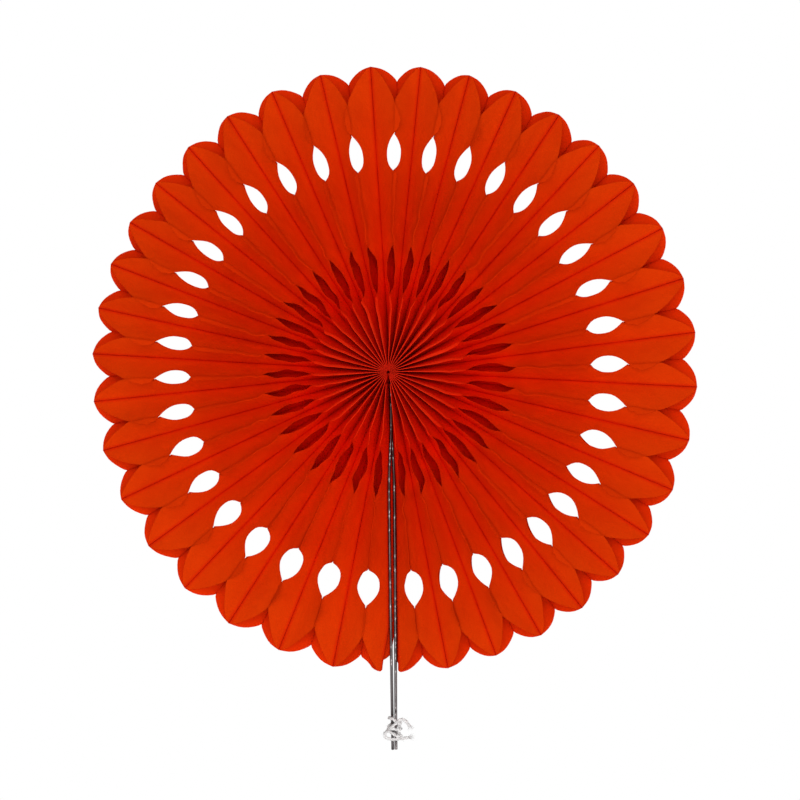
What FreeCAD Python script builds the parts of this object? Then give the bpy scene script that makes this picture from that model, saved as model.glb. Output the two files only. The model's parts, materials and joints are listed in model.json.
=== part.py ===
import FreeCAD, Part
import math
import os

from FreeCAD import Placement, Rotation, Vector

# A round fan of die-cut tissue leaves, opened into a full rosette and held open by
# tying its two end wires together. Millimetres, with the origin at the centre of the
# hub, the front facing -Y and the wire stem pointing down along -Z. Angles go
# clockwise from the top, seen from the front.

# Rosette
outer_radius = 150.0        # hub centre to the tip of a petal
leaf_half_depth = 17.5      # middle crease of a leaf to its front or back edge
cell_count = 37             # hollow cells, each made of two leaves glued at their edges
hub_hole_radius = 0.5
gap_angle_from_top = 179.45
gap_half_width = 2.2        # half of the space that the end leaves leave for the wires
spacing_waves = (2.6, 2.2, 2.2, 0.4, 0.5, 0.0, -0.6)  # degrees of bunching, longest wave first

# Paper
paper_thickness = 0.3
crease_strip = 1.2          # width of the glue line on the middle crease
narrowest_hollow = 1.4      # a cell is solid where its inside would be narrower
narrowest_tip = 0.25        # blunt inner end of a cell beside the wires
fold_radius = 76.0          # where the opened leaves change their slope

# Die-cut outline of a leaf
front_point_length = 18.6   # tip of a petal to the notch between two front petals
front_point_power = 1.45    # 1 is a straight cut, more gives a rounder shoulder
back_scallop_length = 5.6   # tip of a petal to the notch between two back scallops
front_hole_from_rim = 43.4  # tip of a petal to the middle of the outer hole, in front
front_hole_length = 19.5
back_hole_from_rim = 39.5   # the same cut in the back edges, which is larger
back_hole_length = 26.0
inner_hole_radius = 50.0    # hub centre to the middle of the inner hole
inner_hole_length = 24.5
front_hole_share = 0.54     # depth of a cut, as a share of the half depth
back_hole_share = 0.6
front_hole_sides = 5        # straight sides that stand for the rounded cut
back_hole_sides = 4
inner_hole_sides = 4
point_sides = 2
scallop_sides = 3
cutter_overlap = 0.2        # how far the cutting outline passes an edge, as a share

# Wires
wire_radius = 0.75
wire_clearance = 0.05
wire_start_radius = 4.6     # hub centre to the inner end of a wire
wire_overhang = 39.0        # how far a wire stands out past the rim
stacked_until = 30.0        # one wire lies behind the other from the hub to here
side_by_side_from = 58.0
depth_side_by_side = 0.5    # one wire still lies this far in front, the other behind

# String tie
string_radius = 0.65
string_sides = 6
tie_slack = 0.4             # play of the string round the wires
tie_from_rim = 24.0
tie_pitch = 4.5
tie_turns = 2.25
corners_per_turn = 8
end_length = 5.0


def ridge_height(half_width):
    """Height of a cell's edge over its middle, which falls as the cell opens."""
    return math.sqrt(leaf_half_depth ** 2 - half_width ** 2)


def between(value, low, high, at_low, at_high):
    """The value carried from one range to another, held at its ends."""
    share = min(1.0, max(0.0, (value - low) / (high - low)))
    return at_low + share * (at_high - at_low)


def half_gap(radius):
    """Half of the space between the two end leaves at a distance from the hub."""
    at_hub = wire_radius + wire_clearance
    return between(radius, stacked_until, side_by_side_from, at_hub, gap_half_width)


def crease_angles():
    """Angle of each middle crease, from one end leaf clockwise to the other."""
    gap_angle = 2 * math.degrees(math.asin(gap_half_width / outer_radius))
    first = gap_angle_from_top + gap_angle / 2
    pitch = (360.0 - gap_angle) / cell_count
    angles = []
    for i in range(cell_count + 1):
        way_round = math.pi * i / cell_count
        bunching = sum(
            size * math.sin((order + 1) * way_round)
            for order, size in enumerate(spacing_waves)
        )
        angles.append(first + pitch * i + bunching)
    return angles


def side_position(radius, half_angle, beside_gap):
    """Distance of a cell's side from its middle plane."""
    plain = radius * math.tan(half_angle)
    if not beside_gap:
        return plain
    gap_angle = math.asin(gap_half_width / outer_radius)
    to_gap = half_angle + gap_angle
    return radius * math.tan(to_gap) - half_gap(radius) / math.cos(to_gap)


class Cell:
    """One hollow cell: its half angle, and which of its sides meet the wires."""

    def __init__(self, half_angle, gap_on_left, gap_on_right):
        self.half_angle = half_angle
        self.gap_on_left = gap_on_left
        self.gap_on_right = gap_on_right

    def sides(self, radius):
        left = side_position(radius, self.half_angle, self.gap_on_left)
        right = side_position(radius, self.half_angle, self.gap_on_right)
        return -left, right

    def width(self, radius):
        left, right = self.sides(radius)
        return right - left

    def radius_of_width(self, width):
        """The distance from the hub at which the cell is this wide."""
        low = 0.0
        high = outer_radius
        for _ in range(50):
            middle = (low + high) / 2
            if self.width(middle) < width:
                low = middle
            else:
                high = middle
        return high

    def scaled_section(self, radius, wall):
        """Middle, half width and half depth of the section inside a wall."""
        left, right = self.sides(radius)
        half_width = (right - left) / 2
        height = ridge_height(half_width)
        slope = math.atan(half_width / height)
        scale = 1 - wall / (half_width * math.cos(slope))
        return (left + right) / 2, half_width * scale, height * scale

    def outside_ring(self, radius):
        """Six corners: the two edges, and the glue line on each side."""
        middle, x, y = self.scaled_section(radius, 0)
        strip = crease_strip / 2
        corners = ((0, -y), (x, -strip), (x, strip), (0, y), (-x, strip), (-x, -strip))
        return [Vector(middle + cx, cy, radius) for cx, cy in corners]

    def hollow_ring(self, radius):
        """Four corners of the space between the two leaves."""
        middle, x, y = self.scaled_section(radius, paper_thickness)
        corners = ((0, -y), (x, 0), (0, y), (-x, 0))
        return [Vector(middle + cx, cy, radius) for cx, cy in corners]

    def stations(self, start):
        """Distances from the hub at which the section is laid out."""
        radii = {fold_radius}
        if self.gap_on_left or self.gap_on_right:
            radii |= {stacked_until, side_by_side_from}
        beyond_rim = outer_radius + 1.0
        return [start] + sorted(r for r in radii if start < r < beyond_rim) + [beyond_rim]


def flat_face(points):
    return Part.Face(Part.makePolygon(points + points[:1]))


def closed_solid(faces):
    """Solid inside a closed set of faces."""
    solid = Part.Solid(Part.makeShell(faces))
    if solid.Volume < 0:
        solid.reverse()
    return solid


def leaf_faces(near, far, edge, side):
    """Two flat triangles between an edge and a side, over one stretch."""
    return [
        flat_face([near[edge], far[side], near[side]]),
        flat_face([near[edge], far[side], far[edge]]),
    ]


def folded_tube(rings):
    """Closed solid of flat facets through rings that start at the front edge."""
    count = len(rings[0])
    edges = (0, count // 2)
    faces = [flat_face(rings[0]), flat_face(rings[-1])]
    for near, far in zip(rings, rings[1:]):
        for i in range(count):
            j = (i + 1) % count
            if i in edges:
                faces += leaf_faces(near, far, i, j)
            elif j in edges:
                faces += leaf_faces(near, far, j, i)
            else:
                faces.append(flat_face([near[i], near[j], far[j], far[i]]))
    return closed_solid(faces)


def hole_cut(middle_radius, length, depth_share, sides):
    """Radius and depth share along one rounded cut in the edge of a leaf."""
    reach = math.sqrt(1 + cutter_overlap / depth_share)
    points = []
    for i in range(sides + 1):
        u = reach * (2.0 * i / sides - 1)
        points.append((middle_radius + u * length / 2, 1 - depth_share * (1 - u * u)))
    return points


def front_end():
    """Pointed end of the front half of a leaf, from its edge to its tip."""
    points = []
    for i in range(point_sides, -1, -1):
        share = i / point_sides
        radius = outer_radius - front_point_length * share ** front_point_power
        points.append((radius, share))
    return points


def back_end():
    """Rounded end of the back half of a leaf, from beside its tip to its edge."""
    points = []
    for i in range(1, scallop_sides + 1):
        share = i / scallop_sides
        points.append((outer_radius - back_scallop_length * share ** 2, share))
    return points


def leaf_outline():
    """Outline of a leaf as distance from the hub and share of its half depth."""
    edge = 1 + cutter_overlap
    front_hole_radius = outer_radius - front_hole_from_rim
    back_hole_radius = outer_radius - back_hole_from_rim
    inner_hole = hole_cut(
        inner_hole_radius, inner_hole_length, front_hole_share, inner_hole_sides
    )
    front_hole = hole_cut(
        front_hole_radius, front_hole_length, front_hole_share, front_hole_sides
    )
    back_hole = hole_cut(
        back_hole_radius, back_hole_length, back_hole_share, back_hole_sides
    )
    front = front_end()
    back = back_end()
    outline = [(0.0, edge)] + inner_hole + front_hole + [(front[0][0], edge)] + front
    outline += [(radius, -share) for radius, share in back]
    outline.append((back[-1][0], -edge))
    outline += [(radius, -share) for radius, share in reversed(back_hole)]
    outline.append((0.0, -edge))
    return outline


def leaf_cutter(cell):
    """The die that cuts the leaves of a cell, as a prism through its sides."""
    points = []
    for radius, share in leaf_outline():
        height = ridge_height(cell.width(radius) / 2) if radius > 0 else leaf_half_depth
        points.append(Vector(-outer_radius / 2, -share * height, radius))
    return flat_face(points).extrude(Vector(outer_radius, 0, 0))


def pressed_leaves(cell, inner_end, outer_end):
    """Wedge beside the hub, where the leaves lie pressed against each other."""
    near_left, near_right = cell.sides(inner_end)
    far_left, far_right = cell.sides(outer_end)
    depth = leaf_half_depth
    corners = [
        Vector(near_left, -depth, inner_end),
        Vector(near_right, -depth, inner_end),
        Vector(far_right, -depth, outer_end),
        Vector(far_left, -depth, outer_end),
    ]
    return flat_face(corners).extrude(Vector(0, 2 * depth, 0))


def hub_hole():
    """The round hole through the middle of the hub, from the front to the back."""
    reach = 2 * leaf_half_depth
    return Part.makeCylinder(hub_hole_radius, 2 * reach, Vector(0, -reach, 0), Vector(0, 1, 0))


def paper_cell(cell):
    """A hollow, die-cut cell that points up from the hub."""
    inner_end = hub_hole_radius / 2
    if cell.gap_on_left or cell.gap_on_right:
        inner_end = max(hub_hole_radius, cell.radius_of_width(narrowest_tip))
    hollow_from = cell.radius_of_width(2 * paper_thickness + narrowest_hollow)
    pressed_until = cell.radius_of_width(2 * paper_thickness)
    tube_from = (inner_end + pressed_until) / 2
    outside = folded_tube([cell.outside_ring(r) for r in cell.stations(tube_from)])
    hollow = folded_tube([cell.hollow_ring(r) for r in cell.stations(hollow_from)])
    outside = outside.fuse(pressed_leaves(cell, inner_end, pressed_until)).removeSplitter()
    return outside.cut(hollow).common(leaf_cutter(cell)).cut(hub_hole())


def turned(shape, angle):
    """A shape turned clockwise round the hub, seen from the front."""
    placed = shape.copy()
    placed.Placement = Placement(Vector(0, 0, 0), Rotation(Vector(0, 1, 0), angle))
    return placed


def rod(points, radius):
    """Round rod along straight runs, mitred where they meet."""
    headings = [(b - a).normalize() for a, b in zip(points, points[1:])]
    mitres = [headings[0]] + [a + b for a, b in zip(headings, headings[1:])] + [headings[-1]]
    trim = 4 * radius
    runs = []
    for i, heading in enumerate(headings):
        start = points[i]
        end = points[i + 1]
        length = (end - start).Length + 2 * trim
        run = Part.makeCylinder(radius, length, start - heading * trim, heading)
        before = Part.makeCylinder(trim, 2 * trim, start, mitres[i] * -1)
        after = Part.makeCylinder(trim, 2 * trim, end, mitres[i + 1])
        runs.append(run.cut(before).cut(after))
    return runs[0].fuse(runs[1:])


def stem_offset(radius):
    """Distance of a wire from the middle of the stem, out from where they part."""
    apart = gap_half_width - wire_radius - wire_clearance
    together = wire_radius + wire_clearance / 2
    return between(radius, side_by_side_from, outer_radius + wire_overhang, apart, together)


def end_wire(side):
    """Wire on the left (-1) or right (+1) end leaf, drawn pointing up."""
    stacked_depth = wire_radius + wire_clearance / 2
    stem_end = outer_radius + wire_overhang
    points = [
        Vector(0, side * stacked_depth, wire_start_radius),
        Vector(0, side * stacked_depth, stacked_until),
        Vector(
            -side * stem_offset(side_by_side_from),
            side * depth_side_by_side,
            side_by_side_from,
        ),
        Vector(-side * stem_offset(stem_end), 0, stem_end),
    ]
    return rod(points, wire_radius)


def string_tube(route):
    """Six-sided string along a route, mitred where the route turns."""
    headings = [(b - a).normalize() for a, b in zip(route, route[1:])]
    sideways = headings[0].cross(Vector(0, 0, 1)).normalize()
    upwards = headings[0].cross(sideways)
    ring = []
    for i in range(string_sides):
        turn = 2 * math.pi * i / string_sides
        reach = sideways * math.cos(turn) + upwards * math.sin(turn)
        ring.append(route[0] + reach * string_radius)
    rings = [ring]
    mitres = [a + b for a, b in zip(headings, headings[1:])] + [headings[-1]]
    for heading, mitre, corner in zip(headings, mitres, route[1:]):
        slide = [(corner - p).dot(mitre) / heading.dot(mitre) for p in rings[-1]]
        rings.append([p + heading * s for p, s in zip(rings[-1], slide)])
    faces = [flat_face(rings[0]), flat_face(rings[-1])]
    for near, far in zip(rings, rings[1:]):
        for i in range(string_sides):
            faces.append(flat_face([near[i - 1], near[i], far[i], far[i - 1]]))
    return closed_solid(faces)


def tie_string():
    """Two turns of string round both wires, with a knot and two short ends."""
    first_turn = outer_radius + tie_from_rim
    across = stem_offset(first_turn) + wire_radius + string_radius + tie_slack
    deep = wire_radius + string_radius + tie_slack
    corners = int(tie_turns * corners_per_turn)
    route = []
    for i in range(corners + 1):
        turn = 2 * math.pi * i / corners_per_turn
        height = first_turn + tie_pitch * i / corners_per_turn
        route.append(Vector(across * math.cos(turn), -deep * math.sin(turn), height))
    front = -deep - string_radius
    clear_of_turn = -deep - 3 * string_radius
    last = route[-1].z
    upper_end = [
        Vector(-across - end_length, clear_of_turn, first_turn + end_length / 2),
        Vector(-across, clear_of_turn, first_turn + string_radius),
        Vector(0, front, first_turn - string_radius),
        Vector(across, -deep, first_turn - string_radius),
    ]
    lower_end = [
        Vector(-across, front, last + string_radius / 2),
        Vector(-across - end_length, -deep, last),
    ]
    return string_tube(upper_end + route + lower_end)


def export(shape, name):
    """Writes one sub-part to its own file."""
    shape.exportStep(os.path.join("parts", name + ".step"))


def main():
    os.makedirs("parts", exist_ok=True)
    angles = crease_angles()
    for i, (first, second) in enumerate(zip(angles, angles[1:])):
        half_angle = math.radians((second - first) / 2)
        cell = Cell(half_angle, i == 0, i == cell_count - 1)
        shape = turned(paper_cell(cell), (first + second) / 2)
        export(shape, "paper_cell_%02d" % (i + 1))
    for name, side in (("left_wire", -1), ("right_wire", 1)):
        export(turned(end_wire(side), gap_angle_from_top), name)
    export(turned(tie_string(), gap_angle_from_top), "tie_string")


main()
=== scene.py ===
import json
import logging
import math
import random
from collections.abc import Iterable
from dataclasses import dataclass, field, replace
from enum import Enum

import bmesh
import bpy
from mathutils import Matrix, Vector, noise
from mathutils.geometry import interpolate_bezier

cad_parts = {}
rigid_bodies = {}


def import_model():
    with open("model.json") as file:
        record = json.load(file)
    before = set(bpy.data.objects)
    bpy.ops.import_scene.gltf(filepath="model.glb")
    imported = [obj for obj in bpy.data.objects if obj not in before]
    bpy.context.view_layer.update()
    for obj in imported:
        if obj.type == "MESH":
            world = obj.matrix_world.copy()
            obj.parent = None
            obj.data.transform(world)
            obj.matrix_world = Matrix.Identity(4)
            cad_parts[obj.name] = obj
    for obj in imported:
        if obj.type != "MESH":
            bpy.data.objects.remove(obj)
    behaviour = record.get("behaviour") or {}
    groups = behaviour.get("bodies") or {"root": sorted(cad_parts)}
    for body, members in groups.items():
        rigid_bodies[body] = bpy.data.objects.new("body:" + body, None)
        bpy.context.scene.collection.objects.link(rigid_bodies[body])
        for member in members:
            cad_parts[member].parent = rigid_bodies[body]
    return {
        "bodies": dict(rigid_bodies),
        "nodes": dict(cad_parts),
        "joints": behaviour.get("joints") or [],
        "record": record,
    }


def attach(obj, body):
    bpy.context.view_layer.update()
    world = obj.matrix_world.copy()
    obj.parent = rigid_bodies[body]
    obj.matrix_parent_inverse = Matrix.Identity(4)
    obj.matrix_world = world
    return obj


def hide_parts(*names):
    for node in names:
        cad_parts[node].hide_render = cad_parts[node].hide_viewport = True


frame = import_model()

# Dresses the paper fan rosette. Sizes are in millimetres and degrees, meshes in metres.
# Angles go clockwise from the top, seen from the front, which faces -Y.

Span = tuple[float, float]
Colour = tuple[float, float, float]

MM = 0.001
UP = Vector((0.0, 0.0, 1.0))
WHITE = (1.0, 1.0, 1.0)
BLACK = (0.0, 0.0, 0.0)
BODY = "root"
SEED = 37
LOG = logging.getLogger("fan")
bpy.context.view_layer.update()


class Side(Enum):
    """The two leaves of a cell, seen from the front."""

    LEFT = -1
    RIGHT = 1


class Half(Enum):
    """The two halves of a leaf, before and behind its middle crease."""

    FRONT = -1
    BACK = 1


class Slot(Enum):
    """Material slots of the part's record."""

    PAPER = "orange_tissue"
    WIRE = "steel_wire"
    STRING = "white_string"


def eased(value: float, low: float, high: float) -> float:
    """Carries a value from 0 at low to 1 at high, level at both ends.

    Args:
        value: The value to place.
        low: Where the ramp starts.
        high: Where the ramp ends.

    Returns:
        A share from 0 to 1.
    """
    share = min(1.0, max(0.0, (value - low) / (high - low)))
    return share * share * (3.0 - 2.0 * share)


def between(value: float, low: float, high: float, at_low: float, at_high: float) -> float:
    """Carries a value in a straight line from one range to another, held at its ends.

    Args:
        value: The value to place.
        low: Where the ramp starts.
        high: Where the ramp ends.
        at_low: The result at and before low.
        at_high: The result at and past high.

    Returns:
        The value in the second range.
    """
    share = min(1.0, max(0.0, (value - low) / (high - low)))
    return at_low + share * (at_high - at_low)


def turned(angle: float) -> Matrix:
    """Turn round the hub that takes what points up to an angle.

    Args:
        angle: Degrees clockwise from the top.

    Returns:
        The rotation, which also takes millimetres to metres.
    """
    return Matrix.Rotation(math.radians(angle), 4, "Y") @ Matrix.Scale(MM, 4)


@dataclass(frozen=True)
class FanSizes:
    """Sizes that the fan shares with its solids."""

    outer_radius: float = 150.0
    half_depth: float = 17.5
    cell_count: int = 37
    hub_hole_radius: float = 0.5
    gap_angle_from_top: float = 179.45
    gap_half_width: float = 2.2
    spacing_waves: tuple[float, ...] = (2.6, 2.2, 2.2, 0.4, 0.5, 0.0, -0.6)
    wire_radius: float = 0.75
    wire_clearance: float = 0.05
    stacked_until: float = 30.0
    side_by_side_from: float = 58.0

    def crease_angles(self) -> list[float]:
        """Angle of each middle crease, from one end leaf clockwise to the other.

        Returns:
            The angles, one more than there are cells.
        """
        gap_angle = 2 * math.degrees(math.asin(self.gap_half_width / self.outer_radius))
        pitch = (360.0 - gap_angle) / self.cell_count
        angles = []
        for i in range(self.cell_count + 1):
            way_round = math.pi * i / self.cell_count
            bunching = sum(
                size * math.sin((order + 1) * way_round)
                for order, size in enumerate(self.spacing_waves)
            )
            angles.append(self.gap_angle_from_top + gap_angle / 2 + pitch * i + bunching)
        return angles

    def half_gap(self, radius: float) -> float:
        """Half of the space between the two end leaves.

        Args:
            radius: Distance from the hub.

        Returns:
            The distance, which grows as the wires part.
        """
        at_hub = self.wire_radius + self.wire_clearance
        return between(
            radius, self.stacked_until, self.side_by_side_from, at_hub, self.gap_half_width
        )


@dataclass(frozen=True)
class Cut:
    """A rounded cut in the edge of a leaf, which makes one side of an almond hole."""

    middle: float
    length: float
    depth: float
    inner_roundness: float = 2.3
    outer_roundness: float = 1.8
    inner_corner: float = 2.2
    outer_corner: float = 2.2

    def roundness(self, along: float) -> float:
        """How blunt the cut is on this side of its middle."""
        return self.outer_roundness if along > 0 else self.inner_roundness

    def limit(self, radius: float, seam: float) -> float:
        """How far out a leaf reaches there, as a share of its panel.

        Args:
            radius: Distance from the hub.
            seam: Width of the seam, as a share of the panel.

        Returns:
            The share, which is more than 1 where the cut rounds the seam's corner.
        """
        half = self.length / 2
        along = (radius - self.middle) / half
        if abs(along) <= 1.0:
            return 1.0 - self.depth * (1.0 - abs(along) ** self.roundness(along))
        corner = self.outer_corner if along > 0 else self.inner_corner
        past = min(1.0, (abs(along) - 1.0) * half / corner)
        return 1.0 + seam * (1.0 - (1.0 - past) ** 2)

    def ends(self) -> tuple[float, float]:
        """Distances from the hub at which the cut has left the seam."""
        half = self.length / 2
        return self.middle - half - self.inner_corner, self.middle + half + self.outer_corner


@dataclass(frozen=True)
class HoleWidths:
    """How wide the outer holes stand open, as a share of the die's cut."""

    middle: float = 0.95
    more_below: float = 0.18
    more_at_top_and_bottom: float = 0.06
    by_chance: float = 0.04

    def share(self, top: float, chance: float) -> float:
        """Width of the hole of one cell.

        Args:
            top: Height of the cell on the fan, from -1 at the bottom to 1 at the top.
            chance: What differs from cell to cell, from -1 to 1.

        Returns:
            The share of the cut's depth.
        """
        twice = 2 * top**2 - 1
        share = self.middle - self.more_below * top + self.more_at_top_and_bottom * twice
        return share + self.by_chance * chance


@dataclass(frozen=True)
class Bow:
    """How the back of an end leaf bows over the gap, by shares of its panel."""

    rises: Span
    falls: Span
    past_middle: float


@dataclass(frozen=True)
class Lean:
    """How far the glued seams lean over, in degrees, and where along a leaf."""

    outer: float = 92.0
    sag_power: float = 0.5
    level_below: float = 0.25
    level_choices: tuple[float, ...] = (-0.8, 0.8, 0.9)
    bottom: Span = (-1.0, -0.75)
    bottom_shares: Span = (0.2, 1.0)
    outer_spread: Span = (0.7, 1.0)
    inner_share: float = 0.35
    inner_spread: Span = (-12.0, 12.0)
    back_spread: Span = (-35.0, 35.0)
    hub_span: Span = (1.5, 28.0)
    outer_span: Span = (66.0, 118.0)
    back_span: Span = (5.0, 80.0)
    sway: float = 0.7
    sway_span: Span = (20.0, 130.0)
    bend: float = 0.3
    least: float = 0.01


@dataclass(frozen=True)
class Buckles:
    """How far soft paper strays from flat panels and straight edges.

    The wobble is that of the front edge, and the size is that of a panel's buckles.
    """

    wobble: float = 2.0
    wobble_length: float = 6.5
    wobble_rises: Span = (18.0, 46.0)
    wobble_falls: Span = (60.0, 84.0)
    wobble_lost: float = 0.8
    wobble_cell_step: float = 3.7
    size: float = 0.02
    size_span: Span = (10.0, 60.0)
    length: float = 22.0
    across: float = 1.5
    half_step: float = 4.0
    cell_step: float = 7.3
    leaf_step: float = 2.1
    curl: float = 0.05
    curl_span: Span = (90.0, 150.0)


@dataclass(frozen=True)
class LeafShape:
    """The die-cut outline of a leaf and the glued seams along its two edges."""

    inner_cut: Cut = Cut(50.0, 24.5, 0.52)
    front_cut: Cut = Cut(107.1, 18.4, 0.47, 3.2, 1.9, 2.2, 3.4)
    back_cut: Cut = Cut(110.3, 26.5, 0.62, 2.3, 2.3)
    point_length: float = 18.6
    point_power: float = 1.45
    corner_drop: float = 6.4
    corner_power: float = 1.3
    corner_round: float = 2.8
    flat_tip: float = 0.2
    scallop_length: float = 5.6
    scallop_drop: float = 1.5
    front_seam_inner: float = 2.5
    front_seam_outer: float = 2.8
    front_seam_span: Span = (70.0, 112.0)
    front_slack: float = 1.1
    back_seam: float = 1.8
    back_seam_least: float = 0.6
    back_slack: float = 1.04
    thickness: float = 0.11
    glue_overlap: float = 0.004
    crease_press: float = 0.025
    seam_press: float = 0.05
    hub_press: float = 0.3
    pressed_span: Span = (0.0, 3.0)
    pressed_share: float = 0.2
    flattest: float = 0.4
    end_leaf_start: float = 5.9
    end_leaf_lift: float = 3.6
    end_leaf_lift_span: Span = (124.0, 152.0)
    end_leaf_rounding: float = 1.6
    end_leaf_corner: float = 0.14
    left_bow: Bow = Bow((0.2, 0.42), (0.55, 0.95), 0.7)
    right_bow: Bow = Bow((0.08, 0.2), (0.25, 0.42), -0.12)
    bow_from: Span = (12.0, 26.0)
    bow_until: Span = (141.0, 150.5)
    holes: HoleWidths = HoleWidths()
    lean: Lean = Lean()
    buckles: Buckles = Buckles()
    step_in_cuts: float = 1.3
    step_between: float = 3.0
    end_margin: float = 0.3
    front_shares: tuple[float, ...] = (
        0.0, 0.03, 0.07, 0.12, 0.2, 0.3, 0.4, 0.5, 0.6, 0.7, 0.8, 0.88, 0.94, 1.0
    )
    back_shares: tuple[float, ...] = (0.0, 0.04, 0.1, 0.2, 0.35, 0.5, 0.65, 0.8, 0.92, 1.0)
    front_seam_shares: tuple[float, ...] = (0.15, 0.35, 0.65, 1.0)
    back_seam_shares: tuple[float, ...] = (0.4, 1.0)


@dataclass
class SheetPoint:
    """A point of a leaf: its radius, and its place across the panel and the seam."""

    radius: float
    share: float
    half: Half


@dataclass
class Cell:
    """One hollow cell: two leaves glued at their front and back edges."""

    sizes: FanSizes
    shape: LeafShape
    number: int
    first_angle: float
    second_angle: float
    chance: random.Random
    middle_angle: float = field(init=False)
    half_angle: float = field(init=False)
    lean_outer: float = field(init=False)
    lean_inner: float = field(init=False)
    lean_back: float = field(init=False)
    curl: dict[Side, float] = field(init=False)
    front_cut: Cut = field(init=False)
    front_seam_outer: float = field(init=False)
    back_seam: float = field(init=False)

    def __post_init__(self) -> None:
        """Draws what differs from cell to cell, and fits the seams into the fan's depth."""
        self.middle_angle = (self.first_angle + self.second_angle) / 2
        self.half_angle = math.radians((self.second_angle - self.first_angle) / 2)
        self.draw_leans()
        self.curl = {side: self.chance.uniform(-1.0, 1.0) for side in Side}
        top = math.cos(math.radians(self.middle_angle))
        cut = self.shape.front_cut
        open_share = self.shape.holes.share(top, self.curl[Side.LEFT])
        self.front_cut = replace(cut, depth=cut.depth * open_share)
        self.fit_seams()

    def draw_leans(self) -> None:
        """Draws how far the seams of this cell lean over, as the paper sags."""
        lean = self.shape.lean
        sag = math.sin(math.radians(self.middle_angle))
        top = math.cos(math.radians(self.middle_angle))
        if abs(sag) < lean.level_below and top > 0:
            sag = self.chance.choice(lean.level_choices)
        self.lean_outer = lean.outer * math.copysign(abs(sag) ** lean.sag_power, sag)
        self.lean_outer *= between(top, *lean.bottom, *lean.bottom_shares)
        self.lean_outer *= self.chance.uniform(*lean.outer_spread)
        self.lean_inner = lean.inner_share * self.lean_outer
        self.lean_inner += self.chance.uniform(*lean.inner_spread)
        self.lean_back = self.chance.uniform(*lean.back_spread)

    def fit_seams(self) -> None:
        """Makes the seams narrow enough to leave the panels room in the fan's depth."""
        shape = self.shape
        notch = self.sizes.outer_radius - shape.point_length
        room = self.sizes.half_depth - shape.front_slack * self.half_width(notch)
        self.front_seam_outer = min(shape.front_seam_outer, room)
        rim = self.sizes.outer_radius - shape.scallop_length
        room = self.sizes.half_depth - shape.back_slack * self.half_width(rim)
        self.back_seam = max(shape.back_seam_least, min(shape.back_seam, room))

    def beside_gap(self, side: Side) -> bool:
        """Whether a leaf is one of the two end leaves, beside the wires.

        Args:
            side: Which of the two leaves.

        Returns:
            True for the first cell's left leaf and the last cell's right leaf.
        """
        if side is Side.LEFT:
            return self.number == 1
        return self.number == self.sizes.cell_count

    def bowed(self, x: float, radius: float, share: float, side: Side) -> float:
        """Bows the back of an end leaf towards the other one, behind the wires.

        Args:
            x: Sideways place of the leaf without the bow.
            radius: Distance from the hub.
            share: Share of the panel.
            side: Which of the two leaves.

        Returns:
            The sideways place with the bow, which closes the gap between the end leaves.
        """
        shape = self.shape
        bow = shape.left_bow if side is Side.LEFT else shape.right_bow
        weight = eased(share, *bow.rises) * (1 - eased(share, *bow.falls))
        weight *= eased(radius, *shape.bow_from) * (1 - eased(radius, *shape.bow_until))
        crease = self.side_position(radius, side)
        meeting = side.value * (crease + self.sizes.half_gap(radius) + bow.past_middle)
        return x + weight * (meeting - x)

    def side_position(self, radius: float, side: Side) -> float:
        """Distance of a crease from the cell's middle plane.

        Args:
            radius: Distance from the hub.
            side: Which of the two leaves.

        Returns:
            The distance, always positive.
        """
        if not self.beside_gap(side):
            return radius * math.tan(self.half_angle)
        gap_angle = math.asin(self.sizes.gap_half_width / self.sizes.outer_radius)
        to_gap = self.half_angle + gap_angle
        half_gap = self.sizes.half_gap(radius)
        if side is Side.LEFT:
            half_gap += self.shape.end_leaf_lift * eased(radius, *self.shape.end_leaf_lift_span)
        return radius * math.tan(to_gap) - half_gap / math.cos(to_gap)

    def half_width(self, radius: float) -> float:
        """Half of the cell's width at a distance from the hub."""
        return (
            self.side_position(radius, Side.LEFT) + self.side_position(radius, Side.RIGHT)
        ) / 2

    def seam_width(self, radius: float, half: Half) -> float:
        """Width of the glued seam along an edge.

        Args:
            radius: Distance from the hub.
            half: Front or back half.

        Returns:
            The width, which changes along the front edge only.
        """
        if half is Half.BACK:
            return self.back_seam
        inner = self.shape.front_seam_inner
        along = eased(radius, *self.shape.front_seam_span)
        return inner + (self.front_seam_outer - inner) * along

    def ridge(self, radius: float, half: Half) -> float:
        """Height of the line where the two leaves of the cell meet.

        Args:
            radius: Distance from the hub.
            half: Front or back half.

        Returns:
            The height over the middle crease, never quite nothing in a wide cell.
        """
        panel = self.sizes.half_depth - self.seam_width(radius, half)
        half_width = self.half_width(radius)
        free = max(0.0, panel**2 - half_width**2)
        return (free**2 + (self.shape.flattest * half_width) ** 4) ** 0.25

    def seam_share(self, radius: float, half: Half) -> float:
        """Width of the seam as a share of the panel's height."""
        return self.seam_width(radius, half) / self.ridge(radius, half)

    def lean(self, radius: float, half: Half) -> float:
        """How far a seam leans over to the right.

        Args:
            radius: Distance from the hub.
            half: Front or back half.

        Returns:
            The lean in radians.
        """
        spans = self.shape.lean
        if half is Half.BACK:
            return math.radians(self.lean_back * eased(radius, *spans.back_span))
        along = eased(radius, *spans.outer_span)
        lean = self.lean_inner + (self.lean_outer - self.lean_inner) * along
        return math.radians(lean * eased(radius, *spans.hub_span))

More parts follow.
